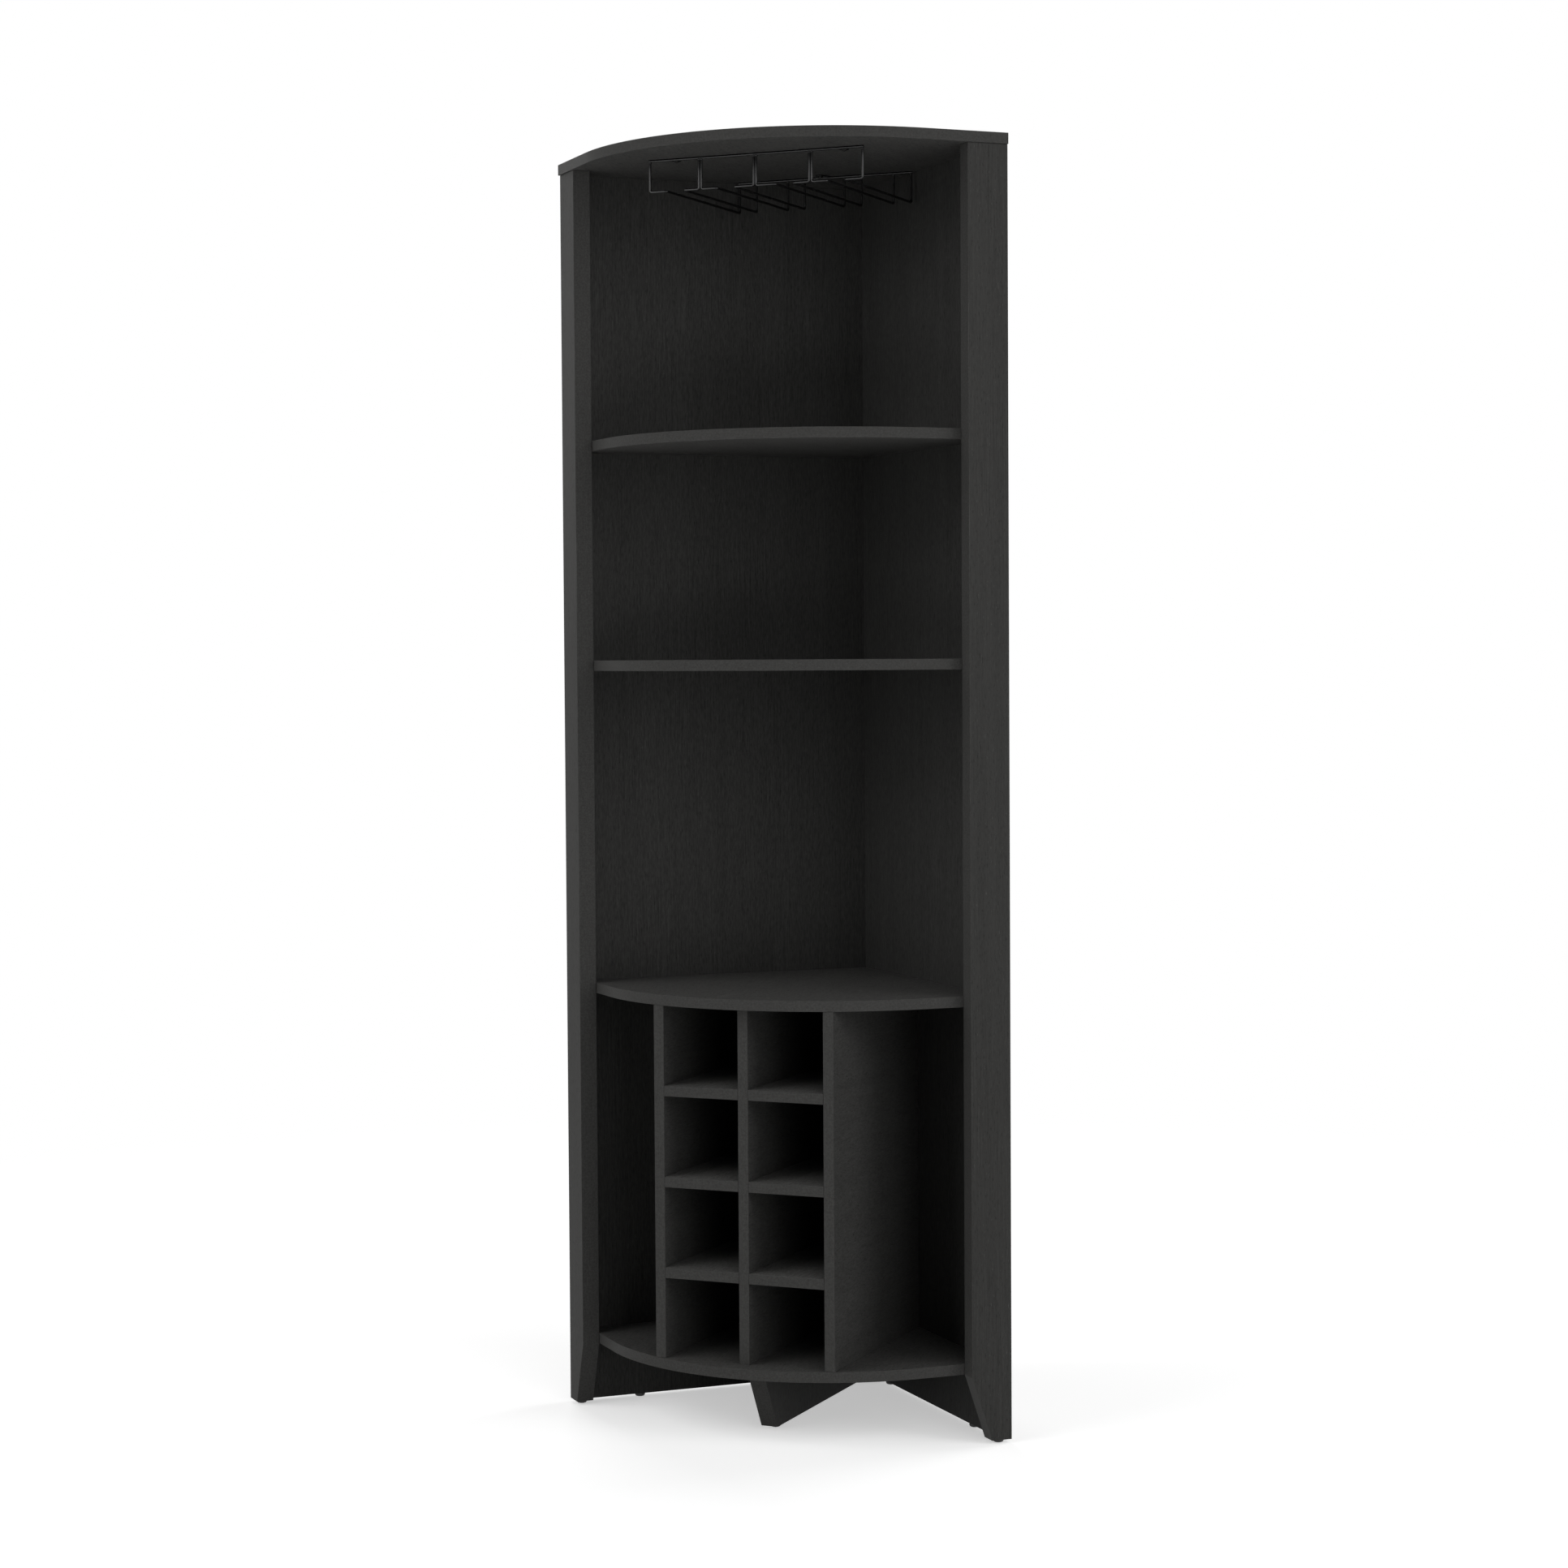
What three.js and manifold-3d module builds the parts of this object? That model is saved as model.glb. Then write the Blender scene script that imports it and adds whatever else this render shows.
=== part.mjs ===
// Corner bar cabinet: a quarter-square cabinet with a rounded front that stands in the corner of a room.
// Millimetres, +Z up, front towards -Y. The origin is under the middle of the cabinet, on the floor.
import * as THREE from "three";
import { mergeVertices } from "three/addons/utils/BufferGeometryUtils.js";
import Module from "manifold-3d";

// Boards
const boardThickness = 15;
const postThickness = 25;
const postWidth = 60;
const legThickness = 25;

// Plan, measured from the corner of the room along a wall
const wallReach = 483; // to the outer face of the posts
const topOverhang = 3; // of the top past the outer face of the posts
const topCornerRadius = 360;
const shelfCornerRadius = 335;

// Heights, stacked up from the floor
const glideHeight = 5;
const toeHeight = 90;
const cubbyHeight = 112.5;
const cubbyRows = 4;
const counterNicheHeight = 450;
const middleNicheHeight = 300;
const upperNicheHeight = 385;

// Wine cubbies
const cubbyWidth = 112.5;
const dividerSetback = 26; // of the dividers' front edges behind the middle of the shelves' front

// Feet
const postFootWidth = 30;
const legSetback = 62; // of the centre leg's top behind the middle of the shelves' front
const legRake = 50; // of the leg's foot behind its top

// Glides: a plastic disc with a rounded rim on a nail
const glideRadius = 7.5;
const glideSoleRadius = 4.5;
const glideRimHeight = 3.2;
const glideNailRadius = 1;
const glideNailLength = 12;
const glideNailTip = 2;
const panelGlideShares = [0.186, 0.825]; // of the shelves' reach
const legGlideSetback = 22; // behind the front of the leg's foot

// Stemware rack under the top
const wireRadius = 1.75;
const rackSetback = 118; // of the front bar behind the middle of the top's front
const rackRearGap = 7.5; // between the rear wires and the back panels
const rackDrop = 45; // from the underside of the top to the axis of the rails
const bendRadius = 4.5;
const outerUprightOffset = 160; // of the outermost front upright from the middle of the rack
const innerUprightOffset = 83; // of the pair of uprights between two slots
const railOffsets = { outerSlot: [134.5, 107.5], innerSlot: [57.5, 31] };
const tabWidth = 24;
const tabLength = 22;
const tabNoseRadius = 6;
const tabThickness = 1.5;
const tabHoleSetback = 14;
const frontTabOffset = 126.5;
const rackScrewRadius = 1.75;
const rackScrewHeadRadius = 3.5;
const rackScrewHeadHeight = 2.2;
const rackScrewSocketRadius = 1.4;
const rackScrewSocketDepth = 1.2;
const rackScrewCrownShare = 0.6; // of the head's radius and height where its rounded edge begins
const rackScrewLength = 12;

// Assembly screws and dowels
const screwRadius = 3;
const screwHeadRadius = 5;
const screwHeadHeight = 3.5;
const screwTipLength = 5;
const screwTipRadius = 1.5;
const screwLength = 45;
const screwSocketRadius = 2.2;
const screwSocketDepth = 2.5;
const panelScrewShare = 0.515; // of the shelves' reach
const legScrewShares = [0.36, 0.76]; // of the leg's reach
const dowelRadius = 4;
const dowelLength = 30;
const dowelChamfer = 1;
const dowelHeightShares = [0.23, 0.77]; // of the height under the top

// Clearances
const jointGap = 0.3; // between pieces that meet
const holeClearance = 0.3; // round a screw, nail or dowel
const overrun = 5; // of a cut past the face that it opens

// How finely round stretches are drawn
const edgeArcSteps = 40;
const roundSides = 12;
const socketSides = 6;
const wireSides = 8;
const bendSteps = 4;

// Worked out from the sizes above
const shelfReach = wallReach - postThickness;
const topReach = wallReach + topOverhang;
const bottomShelfZ = glideHeight + toeHeight;
const cubbiesZ = bottomShelfZ + boardThickness;
const cubbyPitch = cubbyHeight + boardThickness;
const counterShelfZ = cubbiesZ + cubbyRows * cubbyPitch - boardThickness;
const middleShelfZ = counterShelfZ + boardThickness + counterNicheHeight;
const upperShelfZ = middleShelfZ + boardThickness + middleNicheHeight;
const topZ = upperShelfZ + boardThickness + upperNicheHeight;

// How far the middle of a rounded square's front lies from the corner of the room.
const apexOf = (side, radius) => (side - radius) * Math.SQRT2 + radius;

// How far from the corner of the room a piece of this half width clears the back panels.
const clearOfPanels = (halfWidth) => halfWidth + (boardThickness + jointGap) * Math.SQRT2;

const cabinetDepth = apexOf(topReach, topCornerRadius);
const shelfDepth = apexOf(shelfReach, shelfCornerRadius);
const dividerReach = shelfDepth - dividerSetback;
const legTopReach = shelfDepth - legSetback;
const legFootReach = legTopReach - legRake;
const rackFrontReach = cabinetDepth - rackSetback;
const rackRearReach = clearOfPanels(railOffsets.outerSlot[0] + wireRadius) + wireRadius + rackRearGap;
const panelScrewReach = panelScrewShare * shelfReach;
const dividerSpacing = cubbyWidth + boardThickness;

const wasm = await Module();
wasm.setup();

// Finishes

const finish = (color, roughness, metalness = 0) =>
  new THREE.MeshStandardMaterial({ color, roughness, metalness });
const finishes = {
  laminate: () => finish(0x302f2f, 0.55),
  wire: () => finish(0x131313, 0.3, 0.7),
  plastic: () => finish(0x1d1d1d, 0.5),
  zinc: () => finish(0xb9b7ae, 0.35, 1),
  beech: () => finish(0xc8a272, 0.8),
};

// Solids

function toSolid(geometry) {
  const bare = geometry.clone();
  bare.deleteAttribute("normal");
  bare.deleteAttribute("uv");
  const merged = mergeVertices(bare);
  return new wasm.Manifold(
    new wasm.Mesh({
      numProp: 3,
      vertProperties: merged.attributes.position.array,
      triVerts: new Uint32Array(merged.index.array),
    }),
  );
}

function toGeometry(solid) {
  const { vertProperties, triVerts } = solid.getMesh();
  const geometry = new THREE.BufferGeometry()
    .setAttribute("position", new THREE.BufferAttribute(vertProperties, 3))
    .setIndex(new THREE.BufferAttribute(triVerts, 1));
  geometry.computeVertexNormals();
  return geometry;
}

function cut(geometry, holes) {
  const cutter = (solid, hole) => solid.subtract(toSolid(hole));
  return toGeometry(holes.reduce(cutter, toSolid(geometry)));
}

// A flat outline of [x, y] points, from height low to height high.
function slab(points, low, high) {
  const outline = new THREE.Shape(points.map(([x, y]) => new THREE.Vector2(x, y)));
  const geometry = new THREE.ExtrudeGeometry(outline, { depth: high - low, bevelEnabled: false });
  return geometry.translate(0, 0, low);
}

// A turned piece round its own Z axis: a profile of [radius, height] points that starts and ends on the axis.
function turned(profile) {
  const points = profile.map(([radius, height]) => new THREE.Vector2(radius, height));
  return new THREE.LatheGeometry(points, roundSides).rotateX(Math.PI / 2);
}

function bore(radius, low, high) {
  return turned([
    [0, low],
    [radius, low],
    [radius, high],
    [0, high],
  ]);
}

// Turns a piece that was made along +Z to run along another direction from a place.
function aim(geometry, place, direction) {
  const turn = new THREE.Quaternion().setFromUnitVectors(
    new THREE.Vector3(0, 0, 1),
    new THREE.Vector3(...direction),
  );
  return geometry.applyQuaternion(turn).translate(...place);
}

// A path of straight runs and round bends, with a station only where a section is needed.
class BentWire extends THREE.Curve {
  constructor(corners, radius) {
    super();
    this.stations = [corners[0]];
    corners.slice(1, -1).forEach((corner, i) => {
      const inward = corner.clone().sub(corners[i]).normalize();
      const outward = corners[i + 2].clone().sub(corner).normalize();
      const centre = corner.clone().addScaledVector(inward, -radius).addScaledVector(outward, radius);
      for (let step = 0; step <= bendSteps; step++) {
        const angle = ((Math.PI / 2) * step) / bendSteps;
        this.stations.push(
          centre
            .clone()
            .addScaledVector(outward, -radius * Math.cos(angle))
            .addScaledVector(inward, radius * Math.sin(angle)),
        );
      }
    });
    this.stations.push(corners[corners.length - 1]);
  }

  get steps() {
    return this.stations.length - 1;
  }

  getPoint(share) {
    const place = share * this.steps;
    const i = Math.min(Math.floor(place), this.steps - 1);
    return this.stations[i].clone().lerp(this.stations[i + 1], place - i);
  }

  getUtoTmapping(share) {
    return share;
  }
}

function wire(corners) {
  const path = new BentWire(
    corners.map((corner) => new THREE.Vector3(...corner)),
    bendRadius,
  );
  const section = new THREE.Shape();
  for (let side = 0; side < wireSides; side++) {
    const angle = (2 * Math.PI * side) / wireSides;
    const [x, y] = [wireRadius * Math.cos(angle), wireRadius * Math.sin(angle)];
    side ? section.lineTo(x, y) : section.moveTo(x, y);
  }
  return new THREE.ExtrudeGeometry(section, { extrudePath: path, steps: path.steps });
}

// Scene graph. In the walls group the right wall is the plane y = 0 and the left wall the plane x = 0,
// so the cabinet is a plain square whose corner far from both walls is rounded.

const cabinet = new THREE.Group();
cabinet.position.y = cabinetDepth / 2;
const walls = new THREE.Group();
walls.rotation.z = -Math.PI / 4;
cabinet.add(walls);

// Turns a cut made square to the diagonal into the walls group's square.
const ontoWalls = (geometry) => geometry.rotateZ(-walls.rotation.z);

function add(group, name, geometry, material) {
  const mesh = new THREE.Mesh(geometry, material);
  mesh.name = name;
  group.add(mesh);
}

// A place on the walls group's square from a reach along a wall and a distance in front of it.
const sides = {
  left: {
    at: (reach, depth, z = 0) => [depth, -reach, z],
    inward: [1, 0, 0],
    outward: [0, -1, 0],
  },
  right: {
    at: (reach, depth, z = 0) => [reach, -depth, z],
    inward: [0, -1, 0],
    outward: [1, 0, 0],
  },
};

// Assembly hardware

// The screw runs along -Z from its head, which is flush with z = 0.
function screw() {
  const shankEnd = -screwLength + screwTipLength;
  const body = turned([
    [0, -screwLength],
    [screwTipRadius, -screwLength],
    [screwRadius, shankEnd],
    [screwRadius, -screwHeadHeight],
    [screwHeadRadius, 0],
    [0, 0],
  ]);
  const socket = new THREE.CylinderGeometry(
    screwSocketRadius,
    screwSocketRadius,
    screwSocketDepth + overrun,
    socketSides,
  );
  socket.rotateX(Math.PI / 2).translate(0, 0, (overrun - screwSocketDepth) / 2);
  return cut(body, [socket]);
}

function screwHole() {
  return turned([
    [0, -screwLength - holeClearance],
    [screwRadius + holeClearance, -screwLength - holeClearance],
    [screwRadius + holeClearance, -screwHeadHeight - holeClearance],
    [screwHeadRadius + holeClearance, 0],
    [screwHeadRadius + holeClearance, overrun],
    [0, overrun],
  ]);
}

function dowel() {
  const half = dowelLength / 2;
  return turned([
    [0, -half],
    [dowelRadius - dowelChamfer, -half],
    [dowelRadius, -half + dowelChamfer],
    [dowelRadius, half - dowelChamfer],
    [dowelRadius - dowelChamfer, half],
    [0, half],
  ]);
}

function dowelHole() {
  const half = dowelLength / 2 + holeClearance;
  return bore(dowelRadius + holeClearance, -half, half);
}

const shelfHeights = {
  upper: upperShelfZ,
  middle: middleShelfZ,
  counter: counterShelfZ,
  bottom: bottomShelfZ,
};

// Each shelf is screwed to both back panels through their rear faces.
const shelfScrews = Object.entries(shelfHeights).flatMap(([shelf, z]) =>
  Object.keys(sides).map((side) => {
    const { at, inward } = sides[side];
    return {
      name: `${shelf}_shelf_${side}_screw`,
      shelf,
      side,
      place: at(panelScrewReach, 0, z + boardThickness / 2),
      direction: inward.map((v) => -v),
    };
  }),
);

// The top is screwed down into the posts and the back panels.
const topScrews = Object.keys(sides).flatMap((side) => {
  const { at } = sides[side];
  const up = [0, 0, 1];
  const overPost = at(shelfReach + postThickness / 2, postWidth / 2, topZ + boardThickness);
  const overPanel = at(panelScrewReach, boardThickness / 2, topZ + boardThickness);
  return [
    { name: `top_${side}_post_screw`, into: `${side}_post`, place: overPost, direction: up },
    { name: `top_${side}_panel_screw`, into: `${side}_back_panel`, place: overPanel, direction: up },
  ];
});

// The centre leg is screwed on from above, under the centre divider.
const legScrews = legScrewShares.map((share, i) => ({
  name: `leg_screw_${i + 1}`,
  place: [0, -share * legTopReach, cubbiesZ],
  direction: [0, 0, 1],
}));

// Dowels join each post to the end of its back panel.
const postDowels = Object.keys(sides).flatMap((side) =>
  dowelHeightShares.map((share, i) => ({
    name: `${side}_post_dowel_${i + 1}`,
    side,
    place: sides[side].at(shelfReach, boardThickness / 2, share * topZ),
    direction: sides[side].outward,
  })),
);

// Where the rack's tabs lie: base is the edge at the bar, and towards is the way that the ear points.
const rackTabs = [
  { name: "left", x: -frontTabOffset, reach: rackFrontReach, towards: 1 },
  { name: "right", x: frontTabOffset, reach: rackFrontReach, towards: 1 },
  { name: "rear", x: 0, reach: rackRearReach, towards: -1 },
].map(({ name, x, reach, towards }) => {
  const base = -reach + towards * (wireRadius + jointGap);
  return { name, x, base, towards, holeY: base + towards * tabHoleSetback };
});

const holeFor = ({ place, direction }) => aim(screwHole(), place, direction);
const dowelHoleFor = ({ place, direction }) => aim(dowelHole(), place, direction);

for (const { name, place, direction } of [...shelfScrews, ...topScrews])
  add(walls, name, aim(screw(), place, direction), finishes.zinc());
for (const { name, place, direction } of legScrews)
  add(cabinet, name, aim(screw(), place, direction), finishes.zinc());
for (const { name, place, direction } of postDowels)
  add(walls, name, aim(dowel(), place, direction), finishes.beech());

// Glides

function glide() {
  return turned([
    [0, 0],
    [glideSoleRadius, 0],
    [glideRadius, glideRimHeight],
    [glideRadius, glideHeight - jointGap],
    [glideNailRadius, glideHeight - jointGap],
    [glideNailRadius, glideHeight + glideNailLength - glideNailTip],
    [0, glideHeight + glideNailLength],
  ]);
}

const nailHole = () =>
  bore(
    glideNailRadius + holeClearance,
    glideHeight - overrun,
    glideHeight + glideNailLength + holeClearance,
  );

const postGlide = (side) => sides[side].at(shelfReach + postThickness / 2, postFootWidth / 2, 0);
const panelGlides = (side) =>
  panelGlideShares.map((share) => sides[side].at(share * shelfReach, boardThickness / 2, 0));
const legGlide = [0, legGlideSetback - legFootReach, 0];

for (const side of Object.keys(sides)) {
  add(walls, `${side}_post_glide`, glide().translate(...postGlide(side)), finishes.plastic());
  panelGlides(side).forEach((place, i) =>
    add(walls, `${side}_back_glide_${i + 1}`, glide().translate(...place), finishes.plastic()),
  );
}
add(cabinet, "leg_glide", glide().translate(...legGlide), finishes.plastic());

// Top and shelves

// The square outline from a back corner at inset to reach, its far corner rounded.
function roundedSquare(inset, reach, radius) {
  const centre = reach - radius;
  const points = [
    [reach, -inset],
    [inset, -inset],
    [inset, -reach],
  ];
  for (let step = 0; step <= edgeArcSteps; step++) {
    const angle = ((Math.PI / 2) * step) / edgeArcSteps;
    points.push([centre + radius * Math.sin(angle), -centre - radius * Math.cos(angle)]);
  }
  return points;
}

function topPanel() {
  const board = slab(roundedSquare(0, topReach, topCornerRadius), topZ, topZ + boardThickness);
  const rackHoles = rackTabs.map(({ x, holeY }) =>
    ontoWalls(
      bore(rackScrewRadius + holeClearance, topZ - overrun, topZ + rackScrewLength).translate(x, holeY, 0),
    ),
  );
  return cut(board, [...topScrews.map(holeFor), ...rackHoles]);
}

function shelf(name, z) {
  const outline = roundedSquare(boardThickness + jointGap, shelfReach - jointGap, shelfCornerRadius);
  const holes = shelfScrews.filter((one) => one.shelf === name).map(holeFor);
  if (name === "bottom") holes.push(...legScrews.map((one) => ontoWalls(holeFor(one))));
  return cut(slab(outline, z, z + boardThickness), holes);
}

add(walls, "top_panel", topPanel(), finishes.laminate());
for (const [name, z] of Object.entries(shelfHeights))
  add(walls, `${name}_shelf`, shelf(name, z), finishes.laminate());

// Back panels: the left one runs into the corner of the room, and the right one stops against it.

function backPanel(side) {
  const { at } = sides[side];
  const start = side === "left" ? 0 : boardThickness + jointGap;
  const end = shelfReach - jointGap;
  const outline = [at(start, 0), at(end, 0), at(end, boardThickness), at(start, boardThickness)];
  return cut(slab(outline, glideHeight, topZ - jointGap), [
    ...panelGlides(side).map((place) => nailHole().translate(...place)),
    ...shelfScrews.filter((one) => one.side === side).map(holeFor),
    ...topScrews.filter((one) => one.into === `${side}_back_panel`).map(holeFor),
    ...postDowels.filter((one) => one.side === side).map(dowelHoleFor),
  ]);
}

// An upright board from its side view, [distance in front of place, height], as thick to both sides of place.
function upright(view, thickness, place, inward) {
  const [front, up] = [new THREE.Vector3(...inward), new THREE.Vector3(0, 0, 1)];
  const turn = new THREE.Matrix4().makeBasis(front, up, front.clone().cross(up));
  return slab(view, -thickness / 2, thickness / 2).applyMatrix4(turn).translate(...place);
}

// Posts: across the end of each back panel, with the front of the foot cut back.
function post(side) {
  const { at, inward } = sides[side];
  const high = topZ - jointGap;
  const view = [
    [0, glideHeight],
    [postFootWidth, glideHeight],
    [postWidth, bottomShelfZ],
    [postWidth, high],
    [0, high],
  ];
  const board = upright(view, postThickness, at(shelfReach + postThickness / 2, 0), inward);
  return cut(board, [
    nailHole().translate(...postGlide(side)),
    ...topScrews.filter((one) => one.into === `${side}_post`).map(holeFor),
    ...postDowels.filter((one) => one.side === side).map(dowelHoleFor),
  ]);
}

for (const side of Object.keys(sides)) {
  add(walls, `${side}_back_panel`, backPanel(side), finishes.laminate());
  add(walls, `${side}_post`, post(side), finishes.laminate());
}

// Centre leg and wine cubbies, square to the diagonal of the corner

function centreLeg() {
  const back = clearOfPanels(legThickness / 2);
  const high = bottomShelfZ - jointGap;
  const view = [
    [back, glideHeight],
    [legFootReach, glideHeight],
    [legTopReach, high],
    [back, high],
  ];
  const board = upright(view, legThickness, [0, 0, 0], [0, -1, 0]);
  return cut(board, [nailHole().translate(...legGlide), ...legScrews.map(holeFor)]);
}

function uprightSlab(lowX, highX, backReach, low, high) {
  const outline = [
    [lowX, -dividerReach],
    [highX, -dividerReach],
    [highX, -backReach],
    [lowX, -backReach],
  ];
  return slab(outline, low, high);
}

add(cabinet, "centre_leg", centreLeg(), finishes.laminate());

for (const [name, column] of Object.entries({ left: -1, centre: 0, right: 1 })) {
  const middle = column * dividerSpacing;
  const back = clearOfPanels(Math.abs(middle) + boardThickness / 2);
  const board = uprightSlab(
    middle - boardThickness / 2,
    middle + boardThickness / 2,
    back,
    cubbiesZ + jointGap,
    counterShelfZ - jointGap,
  );
  add(cabinet, `${name}_divider`, board, finishes.laminate());
}

for (const [name, column] of Object.entries({ left: -1, right: 1 })) {
  const middle = (column * dividerSpacing) / 2;
  const halfWidth = cubbyWidth / 2 - jointGap;
  const back = clearOfPanels(Math.abs(middle) + halfWidth);
  for (let row = 1; row < cubbyRows; row++) {
    const z = cubbiesZ + row * cubbyPitch - boardThickness;
    const board = uprightSlab(middle - halfWidth, middle + halfWidth, back, z, z + boardThickness);
    add(cabinet, `${name}_cubby_shelf_${row}`, board, finishes.laminate());
  }
}

// Stemware rack: bent wires, each a rail with an upright at either end, welded under two bars

const barZ = topZ - jointGap - wireRadius;
const railZ = topZ - rackDrop;
const uprightTopZ = barZ - wireRadius - jointGap;
const twinOffset = wireRadius + jointGap / 2; // of each of two uprights that stand side by side
const rackRails = [
  { upright: outerUprightOffset, rail: railOffsets.outerSlot[0] },
  { upright: innerUprightOffset + twinOffset, rail: railOffsets.outerSlot[1] },
  { upright: innerUprightOffset - twinOffset, rail: railOffsets.innerSlot[0] },
  { upright: twinOffset, rail: railOffsets.innerSlot[1] },
];

function rackRail(upright, rail) {
  return wire([
    [upright, -rackFrontReach, uprightTopZ],
    [upright, -rackFrontReach, railZ],
    [rail, -rackFrontReach, railZ],
    [rail, -rackRearReach, railZ],
    [rail, -rackRearReach, uprightTopZ],
  ]);
}

function rackBar(halfLength, reach) {
  return wire([
    [-halfLength, -reach, barZ],
    [halfLength, -reach, barZ],
  ]);
}

for (const [name, hand] of Object.entries({ left: -1, right: 1 }))
  rackRails.forEach(({ upright, rail }, i) =>
    add(cabinet, `rack_${name}_rail_${i + 1}`, rackRail(hand * upright, hand * rail), finishes.wire()),
  );
add(cabinet, "rack_front_bar", rackBar(outerUprightOffset + wireRadius, rackFrontReach), finishes.wire());
add(cabinet, "rack_rear_bar", rackBar(railOffsets.outerSlot[0] + wireRadius, rackRearReach), finishes.wire());

// Fixing tabs: flat ears with a round nose, welded to the bars and screwed up into the top.
function rackTab({ x, base, holeY, towards }) {
  const noseY = tabLength - tabNoseRadius;
  const lean = Math.atan2(tabWidth / 2 - tabNoseRadius, noseY);
  const outline = [
    [-tabWidth / 2, 0],
    [tabWidth / 2, 0],
  ];
  for (let step = 0; step <= roundSides; step++) {
    const angle = lean + ((Math.PI - 2 * lean) * step) / roundSides;
    outline.push([tabNoseRadius * Math.cos(angle), noseY + tabNoseRadius * Math.sin(angle)]);
  }
  const placed = outline.map(([across, along]) => [x + across, base + towards * along]);
  const high = topZ - jointGap;
  const plate = slab(placed, high - tabThickness, high);
  const hole = bore(rackScrewRadius + holeClearance, high - tabThickness - overrun, high + overrun);
  return cut(plate, [hole.translate(x, holeY, 0)]);
}

// A pan-head screw, from the underside of its head at z = 0 upwards.
function rackScrew() {
  const body = turned([
    [0, -rackScrewHeadHeight],
    [rackScrewHeadRadius * rackScrewCrownShare, -rackScrewHeadHeight],
    [rackScrewHeadRadius, -rackScrewHeadHeight * rackScrewCrownShare],
    [rackScrewHeadRadius, 0],
    [rackScrewRadius, 0],
    [rackScrewRadius, rackScrewLength - rackScrewRadius],
    [0, rackScrewLength],
  ]);
  const socket = bore(
    rackScrewSocketRadius,
    -rackScrewHeadHeight - overrun,
    rackScrewSocketDepth - rackScrewHeadHeight,
  );
  return cut(body, [socket]);
}

const rackScrewZ = topZ - jointGap - tabThickness - jointGap;
for (const tab of rackTabs) {
  add(cabinet, `rack_${tab.name}_tab`, rackTab(tab), finishes.wire());
  const placed = rackScrew().translate(tab.x, tab.holeY, rackScrewZ);
  add(cabinet, `rack_${tab.name}_screw`, placed, finishes.zinc());
}

export default cabinet;
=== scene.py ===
"""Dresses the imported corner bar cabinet: laminated boards, a wire stemware rack and their hardware.

Metres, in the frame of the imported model: Z up, front towards -Y, soles of the glides at z = 0.
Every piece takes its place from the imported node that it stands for.
"""

import logging
import math
from collections.abc import Callable, Iterable, Mapping, Sequence
from dataclasses import dataclass
from enum import Enum

import bmesh
import bpy
from mathutils import Matrix, Vector
from mathutils.bvhtree import BVHTree


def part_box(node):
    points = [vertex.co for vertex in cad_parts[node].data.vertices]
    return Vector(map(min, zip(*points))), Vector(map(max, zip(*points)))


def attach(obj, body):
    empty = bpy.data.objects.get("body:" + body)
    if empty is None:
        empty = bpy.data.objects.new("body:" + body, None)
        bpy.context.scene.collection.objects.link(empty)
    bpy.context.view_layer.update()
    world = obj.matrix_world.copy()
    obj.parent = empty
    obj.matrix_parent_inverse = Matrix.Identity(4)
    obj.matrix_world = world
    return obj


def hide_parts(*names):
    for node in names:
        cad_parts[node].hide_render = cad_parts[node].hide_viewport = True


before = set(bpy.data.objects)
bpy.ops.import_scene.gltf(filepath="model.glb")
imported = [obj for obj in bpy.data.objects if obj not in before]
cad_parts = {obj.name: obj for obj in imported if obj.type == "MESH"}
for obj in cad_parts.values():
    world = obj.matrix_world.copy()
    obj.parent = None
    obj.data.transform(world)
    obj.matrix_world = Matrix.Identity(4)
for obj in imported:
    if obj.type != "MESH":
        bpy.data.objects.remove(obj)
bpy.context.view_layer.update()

BODY = "root"
MM = 0.001
DIAGONAL = math.sqrt(0.5)
UP = Vector((0, 0, 1))
WHITE = (1.0, 1.0, 1.0, 1.0)

log = logging.getLogger("corner_bar_cabinet")

Colour = tuple[float, float, float, float]
Outline = Callable[[float], float]


# Node trees


class Link:
    """The output of a node, with arithmetic that adds Math nodes to its tree."""

    def __init__(self, tree: "NodeTree", socket: bpy.types.NodeSocket) -> None:
        """Wraps a socket.

        Args:
            tree: The tree that the socket's node is in.
            socket: The output socket.
        """
        self.tree = tree
        self.socket = socket

    def _math(self, operation: str, *values: "Input") -> "Link":
        """Adds a Math node for an operation on values."""
        return self.tree.node("ShaderNodeMath", {"operation": operation}, dict(enumerate(values)))

    def __add__(self, other: "Input") -> "Link":
        """Sum of this and other."""
        return self._math("ADD", self, other)

    def __radd__(self, other: "Input") -> "Link":
        """Sum of other and this."""
        return self._math("ADD", other, self)

    def __sub__(self, other: "Input") -> "Link":
        """This less other."""
        return self._math("SUBTRACT", self, other)

    def __rsub__(self, other: "Input") -> "Link":
        """Other less this."""
        return self._math("SUBTRACT", other, self)

    def __mul__(self, other: "Input") -> "Link":
        """Product of this and other."""
        return self._math("MULTIPLY", self, other)

    def __rmul__(self, other: "Input") -> "Link":
        """Product of other and this."""
        return self._math("MULTIPLY", other, self)

    def __or__(self, other: "Input") -> "Link":
        """The greater of this and other."""
        return self._math("MAXIMUM", self, other)


Input = Link | bpy.types.ID | float | int | bool | Sequence[float] | None


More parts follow.
